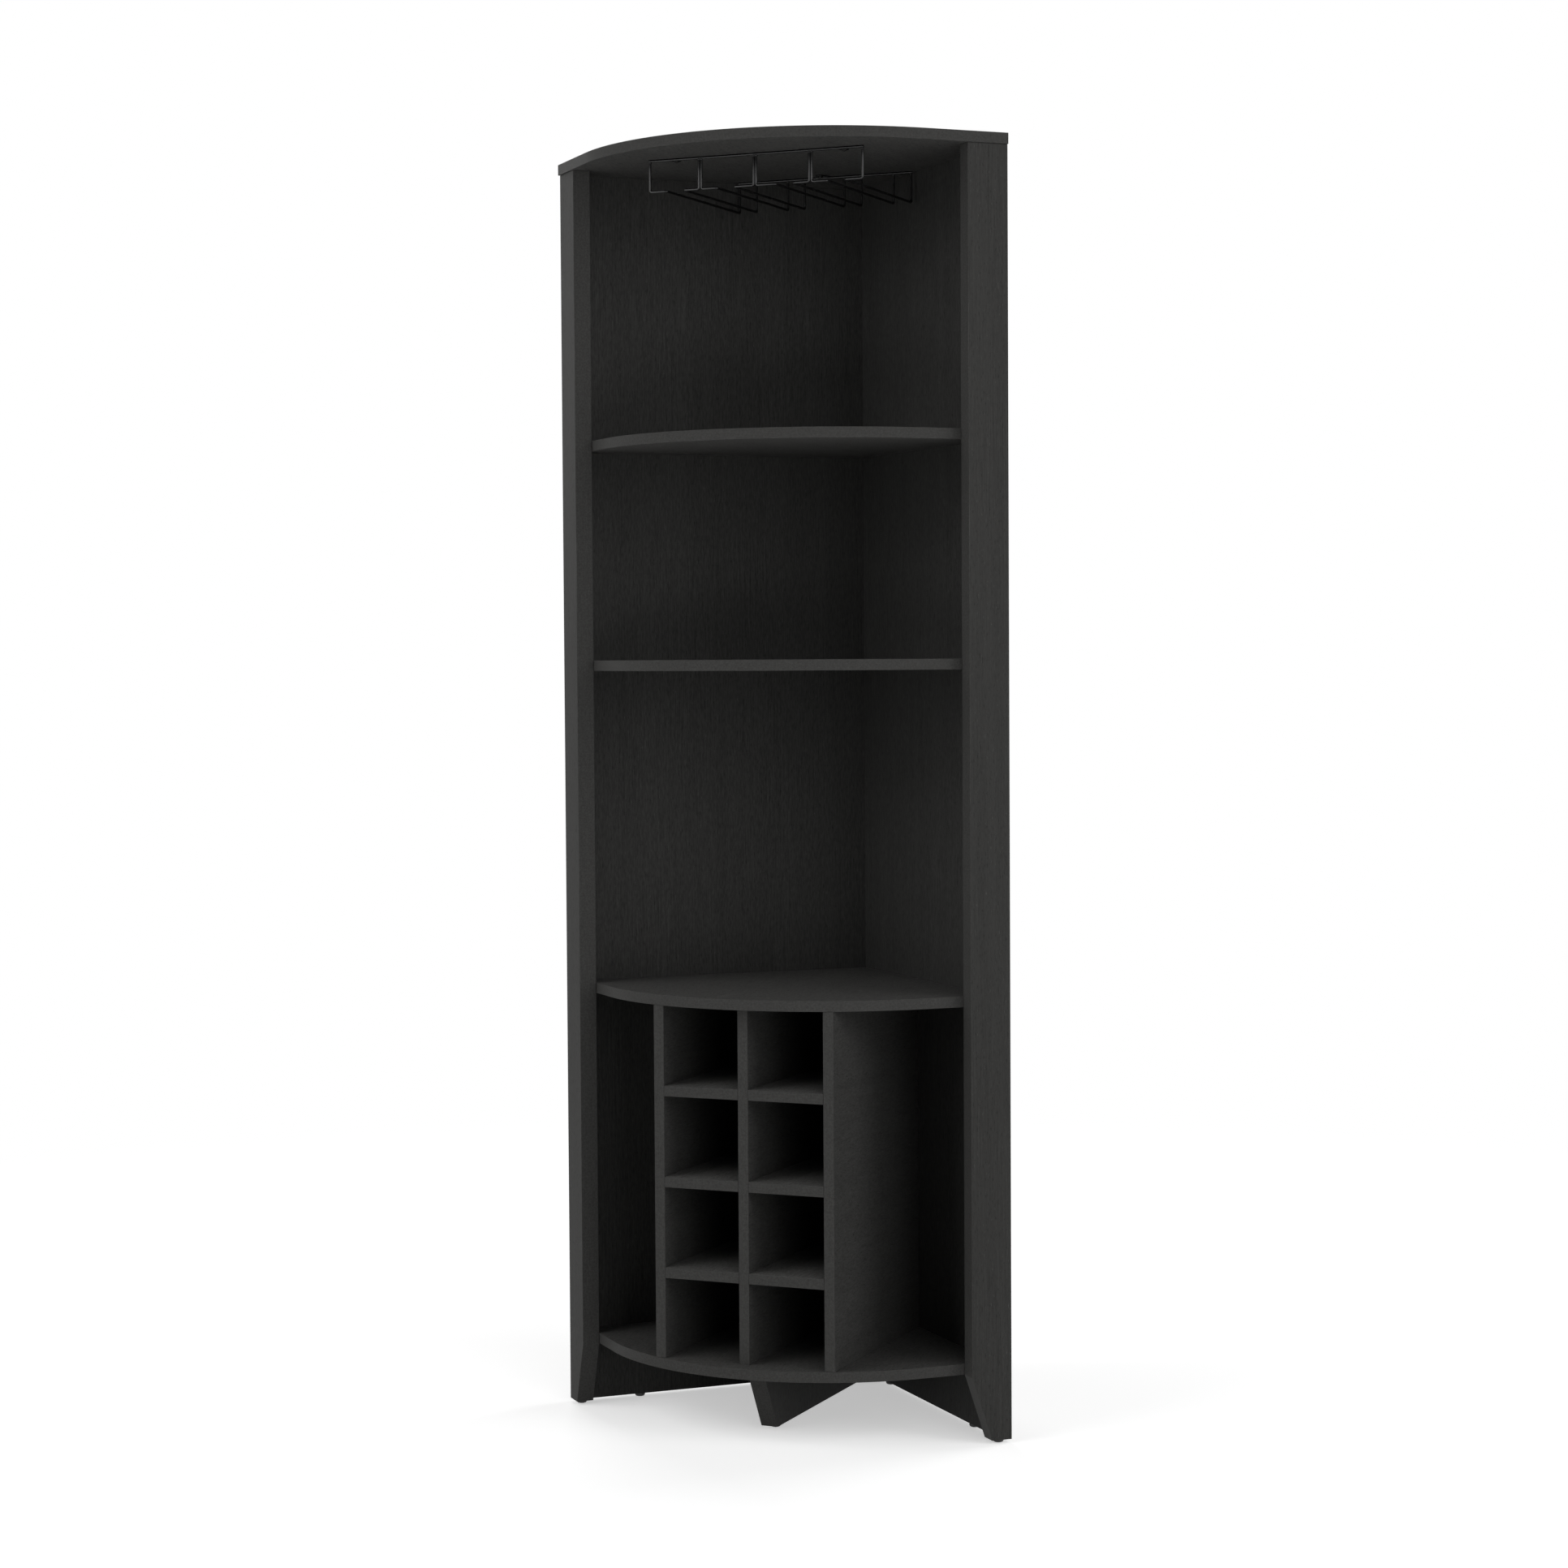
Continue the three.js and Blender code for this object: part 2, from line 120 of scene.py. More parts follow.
class NodeTree:
    """A shader or geometry node tree that grows by one method."""

    def __init__(self, tree: bpy.types.NodeTree) -> None:
        """Wraps a tree.

        Args:
            tree: The tree that nodes are added to.
        """
        self.tree = tree

    def node(
        self,
        kind: str,
        settings: Mapping[str, object] | None = None,
        inputs: Mapping[str | int, Input] | None = None,
        output: str | int = 0,
    ) -> Link:
        """Adds a node.

        Args:
            kind: The node's type.
            settings: Its properties, set before its sockets; "stops" are a ramp's places and colours.
            inputs: Values or links by socket name or number.
            output: The output socket that is wanted.

        Returns:
            The link from that output.
        """
        node = self.tree.nodes.new(kind)
        for name, value in (settings or {}).items():
            if name == "stops":
                self._set_stops(node.color_ramp, value)
            else:
                setattr(node, name, value)
        for key, value in (inputs or {}).items():
            if isinstance(value, Link):
                self.tree.links.new(value.socket, node.inputs[key])
            else:
                node.inputs[key].default_value = value
        return Link(self, node.outputs[output])

    @staticmethod
    def _set_stops(ramp: bpy.types.ColorRamp, stops: Sequence[tuple[float, Colour]]) -> None:
        """Gives a ramp its stops."""
        while len(ramp.elements) < len(stops):
            ramp.elements.new(1.0)
        for element, (place, colour) in zip(ramp.elements, stops):
            element.position = place
            element.color = colour

    def noise(self, vector: Link, size: float, detail: float = 2.0, roughness: float = 0.5) -> Link:
        """Noise from 0 to 1 whose grains are about size metres wide."""
        return self.node(
            "ShaderNodeTexNoise",
            {"noise_dimensions": "3D"},
            {"Vector": vector, "Scale": 1 / size, "Detail": detail, "Roughness": roughness},
        )

    def step(self, value: Link, low: float, high: float) -> Link:
        """A smooth step from 0 at low to 1 at high."""
        return self.node(
            "ShaderNodeMapRange",
            {"interpolation_type": "SMOOTHSTEP"},
            {"Value": value, "From Min": low, "From Max": high},
        )

    def scaled(self, vector: Input, factor: Input) -> Link:
        """A vector or colour times a number."""
        return self.node("ShaderNodeVectorMath", {"operation": "SCALE"}, {0: vector, 3: factor})

    def stretched(self, vector: Link, factors: Sequence[float], shift: Sequence[float]) -> Link:
        """A vector times factors, each along its own axis, plus a shift."""
        settings = {"operation": "MULTIPLY_ADD"}
        return self.node("ShaderNodeVectorMath", settings, {0: vector, 1: factors, 2: shift})

    def mixed(self, factor: Input, first: Input, second: Input) -> Link:
        """A mix of two colours."""
        settings = {"data_type": "RGBA"}
        return self.node("ShaderNodeMix", settings, {0: factor, 6: first, 7: second}, 2)

    def bump(self, height: Link, distance: float, strength: float) -> Link:
        """A normal that is tilted by a height from 0 to 1 over a distance in metres."""
        inputs = {"Strength": strength, "Distance": distance, "Height": height}
        return self.node("ShaderNodeBump", None, inputs)

    def place(self) -> Link:
        """The point on the piece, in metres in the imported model's frame."""
        return self.node("ShaderNodeTexCoord", output="Object")

    def seen(self) -> Link:
        """1 for a ray from the camera, or one that is mirrored or let through, and 0 for light."""
        kinds = ("Is Camera Ray", "Is Glossy Ray", "Is Transmission Ray")
        camera, glossy, clear = (self.node("ShaderNodeLightPath", output=kind) for kind in kinds)
        return camera | glossy | clear


# Finishes


@dataclass(frozen=True)
class Finish:
    """A surface finish, which builds one material."""

    name: str

    def surface(self, tree: NodeTree) -> dict[str, Input]:
        """What the finish feeds to the sockets of its shader.

        Args:
            tree: The material's tree.

        Returns:
            Values or links by the name of the shader's socket.
        """
        raise NotImplementedError

    def build(self) -> bpy.types.Material:
        """Builds the material."""
        material = bpy.data.materials.new(self.name)
        material.use_nodes = True
        material.node_tree.nodes.clear()
        tree = NodeTree(material.node_tree)
        shader = tree.node("ShaderNodeBsdfPrincipled", None, self.surface(tree))
        self._end(tree, shader)
        return material

    @staticmethod
    def _end(tree: NodeTree, shader: Link) -> None:
        """Joins a shader to the tree's output."""
        output = tree.tree.nodes.new("ShaderNodeOutputMaterial")
        tree.tree.links.new(shader.socket, output.inputs["Surface"])


class Grain(Enum):
    """Which way a board's printed grain runs, as an axis."""

    UPRIGHT = (0, 0, 1)
    ACROSS = (1, 0, 0)
    INWARD = (0, 1, 0)

    def drawn(self, reach: float) -> tuple[float, float, float]:
        """The scale of a pattern along X, Y and Z that draws it out along the grain.

        Args:
            reach: How many times as long as wide the pattern gets.

        Returns:
            The three scales.
        """
        x, y, z = (1 / reach if along else 1.0 for along in self.value)
        return x, y, z


@dataclass(frozen=True)
class Laminate(Finish):
    """Charcoal laminate with a printed and pressed wood grain."""

    grain: Grain
    colour: Colour
    roughness: float = 0.5
    streak_reach: float = 34.0
    streak_width: float = 2.0 * MM
    pore_width: float = 1.4 * MM
    figure_width: float = 22 * MM
    fibre_reach: float = 5.0
    fibre_width: float = 1.9 * MM
    streak_contrast: float = 0.7
    figure_contrast: float = 0.25
    fibre_contrast: float = 0.7
    patch_reach: float = 3.5
    patch_width: float = 45 * MM

    def surface(self, tree: NodeTree) -> dict[str, Input]:
        """Patches of streaks, pores, light flecks and broad figure, over short fine fibres."""
        place = tree.place()
        drawn = self.grain.drawn(self.streak_reach)
        along = tree.stretched(place, drawn, (0.0, 0.0, 0.0))
        shifted = tree.stretched(place, drawn, (3.1, 1.7, 5.3))
        streaks = tree.noise(along, self.streak_width, 3.0, 0.6)
        figure = tree.noise(shifted, self.figure_width, 2.0)
        patched = tree.stretched(place, self.grain.drawn(self.patch_reach), (7.9, 2.9, 0.7))
        patches = tree.step(tree.noise(patched, self.patch_width, 1.0), 0.35, 0.65)
        short = tree.stretched(place, self.grain.drawn(self.fibre_reach), (2.3, 0.9, 1.1))
        fibres = tree.noise(short, self.fibre_width, 1.0)
        fine = tree.noise(short, self.pore_width, 1.0)
        pores = tree.step(fine, 0.62, 0.72)
        flecks = tree.step(1 - fine, 0.7, 0.78)
        tone = (
            1
            + (streaks - 0.5) * (0.5 + patches) * self.streak_contrast
            + (figure - 0.5) * self.figure_contrast
            + (fibres - 0.5) * self.fibre_contrast
            - pores * 0.25
            + flecks * 0.5
        )
        height = streaks * 0.6 + fibres * 0.2 - pores * 0.7
        return {
            "Base Color": tree.scaled(self.colour[:3], tone),
            "Roughness": self.roughness + (streaks - 0.5) * 0.16 + pores * 0.12,
            "Normal": tree.bump(height, 0.12 * MM, 0.5),
            "Specular IOR Level": 0.025,
        }


@dataclass(frozen=True)
class EdgeBand(Finish):
    """Edge tape in the laminate's colour: an even speckle with faint lines along the tape."""

    grain: Grain
    colour: Colour
    roughness: float = 0.46
    line_reach: float = 18.0
    line_contrast: float = 0.28
    speckle_width: float = 2.5 * MM
    speckle_contrast: float = 0.6
    wear_and_highlight: float = 0.0

    def surface(self, tree: NodeTree) -> dict[str, Input]:
        """Speckle, faint drawn lines, and light spots where the band turns a corner, partly rubbed wear
        and partly a painted highlight.
        """
        place = tree.place()
        along = tree.stretched(place, self.grain.drawn(self.line_reach), (1.3, 4.1, 2.7))
        lines = tree.noise(along, 1.4 * MM, 2.0)
        speckle = tree.noise(place, self.speckle_width, 1.0)
        # Light spots on the softened corners: partly rubbed wear, partly a painted highlight along the
        # corner.
        worn_and_highlit = tree.step(tree.noise(along, 9 * MM, 3.0, 0.65), 0.52, 0.75) * self.wear_and_highlight
        tone = (
            1
            + (lines - 0.5) * self.line_contrast
            + (speckle - 0.5) * self.speckle_contrast
            + worn_and_highlit
        )
        return {
            "Base Color": tree.scaled(self.colour[:3], tone),
            "Roughness": self.roughness + (speckle - 0.5) * 0.12 + worn_and_highlit * 0.1,
            "Normal": tree.bump(lines * 0.5 + speckle * 0.5, 0.06 * MM, 0.4),
            "Specular IOR Level": 0.025,
        }


@dataclass(frozen=True)
class WireCoat(Finish):
    """Gloss black coating baked onto steel wire, with the faint ripple of such a coat."""

    colour: Colour

    def surface(self, tree: NodeTree) -> dict[str, Input]:
        """A rippled gloss coat with a few dull patches."""
        place = tree.place()
        ripple = tree.noise(place, 1.6 * MM, 2.0)
        dull = tree.step(tree.noise(place, 14 * MM, 3.0), 0.5, 0.72)
        return {
            "Base Color": tree.scaled(self.colour[:3], 1 + (ripple - 0.5) * 0.3 + dull * 0.35),
            "Roughness": 0.19 + dull * 0.08 + (ripple - 0.5) * 0.05,
            "Normal": tree.bump(ripple, 0.02 * MM, 0.3),
            "Specular IOR Level": 0.3,
            "Coat Weight": 0.1,
            "Coat Roughness": 0.15,
        }


@dataclass(frozen=True)
class MouldedPlastic(Finish):
    """Spark-textured black plastic that is scuffed near the floor."""

    colour: Colour
    scuff_height: float = 1.4 * MM

    def surface(self, tree: NodeTree) -> dict[str, Input]:
        """A fine even texture, with grey scuffs low down."""
        place = tree.place()
        texture = tree.noise(place, 0.5 * MM, 2.0)
        height = tree.node("ShaderNodeSeparateXYZ", None, {0: place}, 2)
        low = 1 - tree.step(height, 0.0, self.scuff_height)
        scuffs = low * tree.step(tree.noise(place, 1.2 * MM, 3.0), 0.45, 0.65)
        return {
            "Base Color": tree.mixed(scuffs, self.colour, (0.11, 0.108, 0.1, 1.0)),
            "Roughness": 0.46 + (texture - 0.5) * 0.2 + scuffs * 0.25,
            "Normal": tree.bump(texture, 0.05 * MM, 0.5),
            "Specular IOR Level": 0.45,
        }


@dataclass(frozen=True)
class PlatedSteel(Finish):
    """Plated or blacked steel with a cloudy bloom."""

    colour: Colour
    bloom: Colour
    roughness: float = 0.3

    def surface(self, tree: NodeTree) -> dict[str, Input]:
        """Cloudy colour and roughness with fine drawn scratches."""
        place = tree.place()
        cloud = tree.step(tree.noise(place, 3 * MM, 3.0, 0.6), 0.35, 0.7)
        scratches = tree.noise(tree.stretched(place, (1.0, 1.0, 0.2), (0.7, 0.2, 0.9)), 0.25 * MM, 2.0)
        return {
            "Base Color": tree.mixed(cloud, self.colour, self.bloom),
            "Metallic": 1.0,
            "Roughness": self.roughness + cloud * 0.16 + (scratches - 0.5) * 0.1,
            "Normal": tree.bump(scratches, 0.02 * MM, 0.4),
        }


@dataclass(frozen=True)
class TurnedBeech(Finish):
    """Raw beech with growth lines and the short brown rays of that wood."""

    colour: Colour
    ray_colour: Colour

    def surface(self, tree: NodeTree) -> dict[str, Input]:
        """Growth lines along the pin, and darker rays across them."""
        place = tree.place()
        growth = tree.noise(tree.stretched(place, (0.25, 0.25, 1.0), (0.3, 0.1, 0.4)), 1.2 * MM, 3.0)
        rays = tree.step(tree.noise(place, 0.7 * MM, 2.0), 0.58, 0.7)
        shaded = tree.scaled(self.colour[:3], 0.8 + growth * 0.4)
        return {
            "Base Color": tree.mixed(rays * 0.6, shaded, self.ray_colour),
            "Roughness": 0.7 + (growth - 0.5) * 0.2,
            "Normal": tree.bump(growth, 0.08 * MM, 0.5),
            "Specular IOR Level": 0.3,
        }


class Slot(Enum):
    """The material slots, by name."""

    LAMINATE = "laminate"
    WIRE = "rack_wire"
    SCREW = "screw_steel"
    DOWEL = "dowel_wood"
    GLIDE = "glide_plastic"


# Meshes


def add_object(name: str, mesh: bpy.types.Mesh) -> bpy.types.Object:
    """Links a mesh to the scene as an object at the origin."""
    made = bpy.data.objects.new(name, mesh)
    bpy.context.scene.collection.objects.link(made)
    return made


def settled(source: bpy.types.Object, name: str) -> bpy.types.Object:
    """Turns an object with live modifiers into a plain mesh object, and removes it.

    Args:
        source: The object, at the origin.
        name: The name of the plain object.

    Returns:
        The plain object.
    """
    depsgraph = bpy.context.evaluated_depsgraph_get()
    mesh = bpy.data.meshes.new_from_object(
        source.evaluated_get(depsgraph), preserve_all_data_layers=True, depsgraph=depsgraph
    )
    mesh.name = name
    bpy.data.objects.remove(source)
    return add_object(name, mesh)


def hand_over(piece: bpy.types.Object, nodes: Iterable[str]) -> None:
    """Gives a finished piece to the frame and reports it.

    Args:
        piece: The finished piece.
        nodes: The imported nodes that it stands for.
    """
    nodes = list(nodes)
    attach(piece, BODY)
    if nodes:
        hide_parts(*nodes)
    log.info("%s: %d faces, for %d nodes", piece.name, len(piece.data.polygons), len(nodes))


def lofted(name: str, rings: Sequence[tuple[Outline, float]], sides: int) -> bpy.types.Mesh:
    """A closed shape round the Z axis from rings, bottom or outside first, with a pole at either end.

    Args:
        name: The mesh's name.
        rings: For each ring its outline, the radius at an angle, and its height.
        sides: The number of points round a ring.

    Returns:
        The mesh, with its faces pointing outwards.
    """
    shape = bmesh.new()
    loops = []
    for outline, height in rings:
        angles = [math.tau * side / sides for side in range(sides)]
        points = [(outline(a) * math.cos(a), outline(a) * math.sin(a), height) for a in angles]
        loops.append([shape.verts.new(point) for point in points])
    for lower, upper in zip(loops, loops[1:]):
        for side in range(sides):
            after = (side + 1) % sides
            shape.faces.new((lower[side], lower[after], upper[after], upper[side]))
    for loop, height in ((loops[0], rings[0][1]), (loops[-1], rings[-1][1])):
        pole = shape.verts.new((0, 0, height))
        for side in range(sides):
            shape.faces.new((loop[side], loop[(side + 1) % sides], pole))
    bmesh.ops.recalc_face_normals(shape, faces=shape.faces)
    mesh = bpy.data.meshes.new(name)
    shape.to_mesh(mesh)
    shape.free()
    mesh.shade_smooth()
    mesh.set_sharp_from_angle(angle=math.radians(35))
    return mesh


def round_of(radius: float) -> Outline:
    """A circle of that radius."""
    return lambda angle: radius


def hexagon_of(radius: float) -> Outline:
    """A hexagon whose corners are at that radius."""
    third = math.pi / 3
    apothem = radius * math.cos(third / 2)
    return lambda angle: apothem / math.cos((angle % third) - third / 2)


def cross_of(length: float, width: float) -> Outline:
    """A plus shape with arms of that length from its middle and of that width."""

    def bar(along: float, across: float) -> float:
        """How far a ray leaves a bar, from the ray's parts along and across the bar."""
        return min(length / max(abs(along), 1e-9), width / 2 / max(abs(across), 1e-9))

    return lambda a: max(bar(math.cos(a), math.sin(a)), bar(math.sin(a), math.cos(a)))


# Geometry node trees


class GeometryTree(NodeTree):
    """A geometry node tree with named inputs."""

    def __init__(self, name: str, inputs: Mapping[str, str]) -> None:
        """Starts the tree.

        Args:
            name: The tree's name.
            inputs: The socket type of each named input, after the geometry.
        """
        super().__init__(bpy.data.node_groups.new(name, "GeometryNodeTree"))
        sockets = {"Geometry": "NodeSocketGeometry", **inputs}
        for socket, kind in sockets.items():
            self.tree.interface.new_socket(name=socket, in_out="INPUT", socket_type=kind)
        self.tree.interface.new_socket(name="Geometry", in_out="OUTPUT", socket_type="NodeSocketGeometry")
        self.start = self.tree.nodes.new("NodeGroupInput")

    def given(self, name: str) -> Link:
        """The link from a named input."""
        return Link(self, self.start.outputs[name])

    def end(self, geometry: Link) -> None:
        """Makes instances real, sets the finish and ends the tree."""
        real = self.node("GeometryNodeRealizeInstances", None, {"Geometry": geometry})
        inputs = {"Geometry": real, "Material": self.given("Finish")}
        dressed = self.node("GeometryNodeSetMaterial", None, inputs)
        output = self.tree.nodes.new("NodeGroupOutput")
        self.tree.links.new(dressed.socket, output.inputs["Geometry"])

    def apply(self, source: bpy.types.Object, name: str, values: Mapping[str, Input]) -> bpy.types.Object:
        """Runs the tree on an object and turns the result into a plain mesh object.

        Args:
            source: The object that the tree reads, which is removed.
            name: The result's name.
            values: The value of each named input.

        Returns:
            The plain mesh object.
        """
        modifier = source.modifiers.new(name, "NODES")
        modifier.node_group = self.tree
        for item in self.tree.interface.items_tree:
            if item.in_out == "INPUT" and item.name in values:
                modifier[item.identifier] = values[item.name]
        return settled(source, name)


def bent_wire_tree() -> GeometryTree:
    """A tree that turns a path of straight edges into round wire with round bends."""
    tree = GeometryTree(
        "bent_wire",
        {
            "Wire Radius": "NodeSocketFloat",
            "Bend Radius": "NodeSocketFloat",
            "Bend Steps": "NodeSocketInt",
            "Wire Sides": "NodeSocketInt",
            "Finish": "NodeSocketMaterial",
        },
    )
    path = tree.node("GeometryNodeMeshToCurve", None, {"Mesh": tree.given("Geometry")})
    bent = tree.node(
        "GeometryNodeFilletCurve",
        {"mode": "POLY"},
        {
            "Curve": path,
            "Count": tree.given("Bend Steps"),
            "Radius": tree.given("Bend Radius"),
            "Limit Radius": True,
        },
    )
    section = tree.node(
        "GeometryNodeCurvePrimitiveCircle",
        {"mode": "RADIUS"},
        {"Resolution": tree.given("Wire Sides"), "Radius": tree.given("Wire Radius")},
    )
    inputs = {"Curve": bent, "Profile Curve": section, "Fill Caps": True}
    tree.end(tree.node("GeometryNodeCurveToMesh", None, inputs))
    return tree


def placed_copies_tree() -> GeometryTree:
    """A tree that puts a copy of a piece at each point, its Z axis along the point's facing."""
    tree = GeometryTree(
        "placed_copies",
        {
            "Copy": "NodeSocketObject",
            "Size Change": "NodeSocketFloat",
            "Turn": "NodeSocketFloat",
            "Seed": "NodeSocketInt",
            "Finish": "NodeSocketMaterial",
        },
    )
    copy = tree.node(
        "GeometryNodeObjectInfo", None, {"Object": tree.given("Copy"), "As Instance": True}, "Geometry"
    )
    facing = tree.node(
        "GeometryNodeInputNamedAttribute", {"data_type": "FLOAT_VECTOR"}, {"Name": "facing"}
    )
    aimed = tree.node(
        "FunctionNodeAlignRotationToVector", {"axis": "Z"}, {"Vector": facing}, "Rotation"
    )
    seed = tree.given("Seed")
    angle = tree.node(
        "FunctionNodeRandomValue",
        {"data_type": "FLOAT"},
        {"Min": 0.0, "Max": tree.given("Turn"), "Seed": seed},
        1,
    )
    size = tree.node(
        "FunctionNodeRandomValue",
        {"data_type": "FLOAT"},
        {"Min": 1 - tree.given("Size Change"), "Max": 1 + tree.given("Size Change"), "Seed": seed + 1},
        1,
    )
    turn = tree.node("FunctionNodeAxisAngleToRotation", None, {"Axis": UP, "Angle": angle})
    turned = tree.node(
        "FunctionNodeRotateRotation",
        {"rotation_space": "LOCAL"},
        {"Rotation": aimed, "Rotate By": turn},
    )
    tree.end(
        tree.node(
            "GeometryNodeInstanceOnPoints",
            None,
            {"Points": tree.given("Geometry"), "Instance": copy, "Rotation": turned, "Scale": size},
        )
    )
    return tree


@dataclass(frozen=True)
class Place:
    """Where a copy of a piece goes, and which way its Z axis faces."""

    point: Vector
    facing: Vector


@dataclass
class Copies:
    """A set of like pieces, each at its own place."""

    name: str
    copy: bpy.types.Mesh
    places: list[Place]
    finish: bpy.types.Material
    turn: float = 0.0
    size_change: float = 0.0
    seed: int = 7

    def build(self, tree: GeometryTree) -> bpy.types.Object:
        """Runs the tree of placed copies.

        Args:
            tree: The tree that places the copies.

        Returns:
            One plain mesh object with every copy.
        """
        points = bpy.data.meshes.new(f"{self.name}_points")
        points.from_pydata([place.point for place in self.places], [], [])
        facing = points.attributes.new("facing", "FLOAT_VECTOR", "POINT")
        facing.data.foreach_set("vector", [v for place in self.places for v in place.facing])
        pattern = add_object(f"{self.name}_copy", self.copy)
        values = {
            "Copy": pattern,
            "Size Change": self.size_change,
            "Turn": self.turn,
            "Seed": self.seed,
            "Finish": self.finish,
        }
        made = tree.apply(add_object(f"{self.name}_places", points), self.name, values)
        bpy.data.objects.remove(pattern)
        made.data.set_sharp_from_angle(angle=math.radians(35))
        return made


# Boards


def merge_points(mesh: bpy.types.Mesh, reach: float) -> None:
    """Merges the points of a mesh that lie closer together than reach, in metres."""
    shape = bmesh.new()
    shape.from_mesh(mesh)
    bmesh.ops.remove_doubles(shape, verts=shape.verts, dist=reach)
    shape.to_mesh(mesh)
    shape.free()


def firm_normals(mesh: bpy.types.Mesh, rounded: int) -> None:
    """Shades flat faces flat, so that light turns only over curved edges and softened corners.

    Args:
        mesh: The mesh, with smooth faces.
        rounded: The material index of its softened corners.
    """
    curved, corner = (math.cos(math.radians(angle)) for angle in (12, 50))
    around: dict[int, list[bpy.types.MeshPolygon]] = {}
    for face in mesh.polygons:
        for vertex in face.vertices:
            around.setdefault(vertex, []).append(face)
    normals = []
    for face in mesh.polygons:
        soft = face.material_index == rounded
        for vertex in face.vertices:
            near = around[vertex]
            plain = [other.normal for other in near if other.material_index != rounded]
            if soft:
                plain = [normal for normal in plain if normal.dot(face.normal) > corner]
            if plain:
                lead = max(plain, key=face.normal.dot)
                alike = [normal for normal in plain if normal.dot(lead) > curved]
            else:
                alike = [other.normal for other in near if other.material_index == rounded]
                alike = [normal for normal in alike if normal.dot(face.normal) > corner]
            normals.append(sum(alike, Vector()).normalized())
    mesh.normals_split_custom_set(normals)


class Contact:
    """Where boards lie against each other."""

    DEPTH = 0.6 * MM
    INSET = 0.8 * MM

    def __init__(self, nodes: Iterable[str]) -> None:
        """Keeps the solids of the boards.

        Args:
            nodes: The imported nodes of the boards.
        """
        self._solids = {node: self._solid(node) for node in nodes}

    @staticmethod
    def _solid(node: str) -> BVHTree:
        """The faces of a node, for finding the nearest one."""
        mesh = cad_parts[node].data
        faces = [tuple(face.vertices) for face in mesh.polygons]
        return BVHTree.FromPolygons([vert.co for vert in mesh.vertices], faces)

    def _fills(self, node: str, point: Vector) -> bool:
        """Whether a board other than the node's own fills a point."""
        for other, solid in self._solids.items():
            near, normal, _, _ = solid.find_nearest(point, 2 * self.DEPTH)
            if other != node and near is not None and (point - near).dot(normal) < 0:
                return True
        return False

    def holds(self, node: str, edge: bmesh.types.BMEdge) -> bool:
        """Whether most of an edge lies in a joint.

        Args:
            node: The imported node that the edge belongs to.
            edge: The edge, which has two faces.

        Returns:
            Whether another board touches one of its faces along it.
        """
        start, end = (vert.co for vert in edge.verts)
        hits = 0
        for share in (0.2, 0.5, 0.8):
            on_edge = start.lerp(end, share)
            inward = [(face.calc_center_median() - on_edge).normalized() for face in edge.link_faces]
            touches = (
                self._fills(node, on_edge + way * self.INSET + face.normal * self.DEPTH)
                for way, face in zip(inward, edge.link_faces)
            )
            hits += any(touches)
        return hits > 1


@dataclass
class ConvexPlate:
    """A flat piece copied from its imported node, screw holes included, with its free corners softened.

    Its faces across the thickness get the first finish, its edges the second and its corners the third.
    """

    node: str
    through: Vector
    softness: float
    finishes: tuple[bpy.types.Material, bpy.types.Material, bpy.types.Material]
    slot: Slot = Slot.LAMINATE
    suffix: str = "board"
    contact: Contact | None = None

    def build(self) -> bpy.types.Object:
        """Builds the piece and hands it over."""
        shape = bmesh.new()
        shape.from_mesh(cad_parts[self.node].data)
        bmesh.ops.remove_doubles(shape, verts=shape.verts, dist=2e-6)
        bmesh.ops.dissolve_limit(
            shape,
            angle_limit=math.radians(0.3),
            verts=shape.verts,
            edges=shape.edges,
            delimit=set(),
        )
        shape.normal_update()
        weights = shape.edges.layers.float.new("bevel_weight_edge")
        outer = {face.index for face in shape.faces if self._is_outer(face, shape.verts)}
        for face in shape.faces:
            face.smooth = True
            flat = abs(face.normal.dot(self.through)) > 0.9 and face.index in outer
            face.material_index = 0 if flat else 1
        for edge in shape.edges:
            if edge.calc_face_angle(0.0) > math.radians(30):
                soft = all(face.index in outer for face in edge.link_faces)
                if soft and self.contact:
                    soft = not self.contact.holds(self.node, edge)
                edge[weights] = 1.0 if soft else 0.0
                edge.smooth = soft
        mesh = bpy.data.meshes.new(self.node)
        shape.to_mesh(mesh)
        shape.free()
        for finish in self.finishes:
            mesh.materials.append(finish)
        rough = add_object(f"{self.node}_rough", mesh)
        bevel = rough.modifiers.new("softened_corners", "BEVEL")
        bevel.limit_method = "WEIGHT"
        bevel.width = self.softness
        bevel.segments = 2
        bevel.material = 2
        piece = settled(rough, f"{self.node}_{self.suffix}")
        merge_points(piece.data, 1e-6)
        firm_normals(piece.data, bevel.material)
        hand_over(piece, [self.node])
        return piece

    @staticmethod
    def _is_outer(face: bmesh.types.BMFace, verts: Iterable[bmesh.types.BMVert]) -> bool:
        """Whether the whole piece lies behind a face, which no wall of a hole has."""
        middle = face.calc_center_median()
        return all((vert.co - middle).dot(face.normal) < 5e-6 for vert in verts)


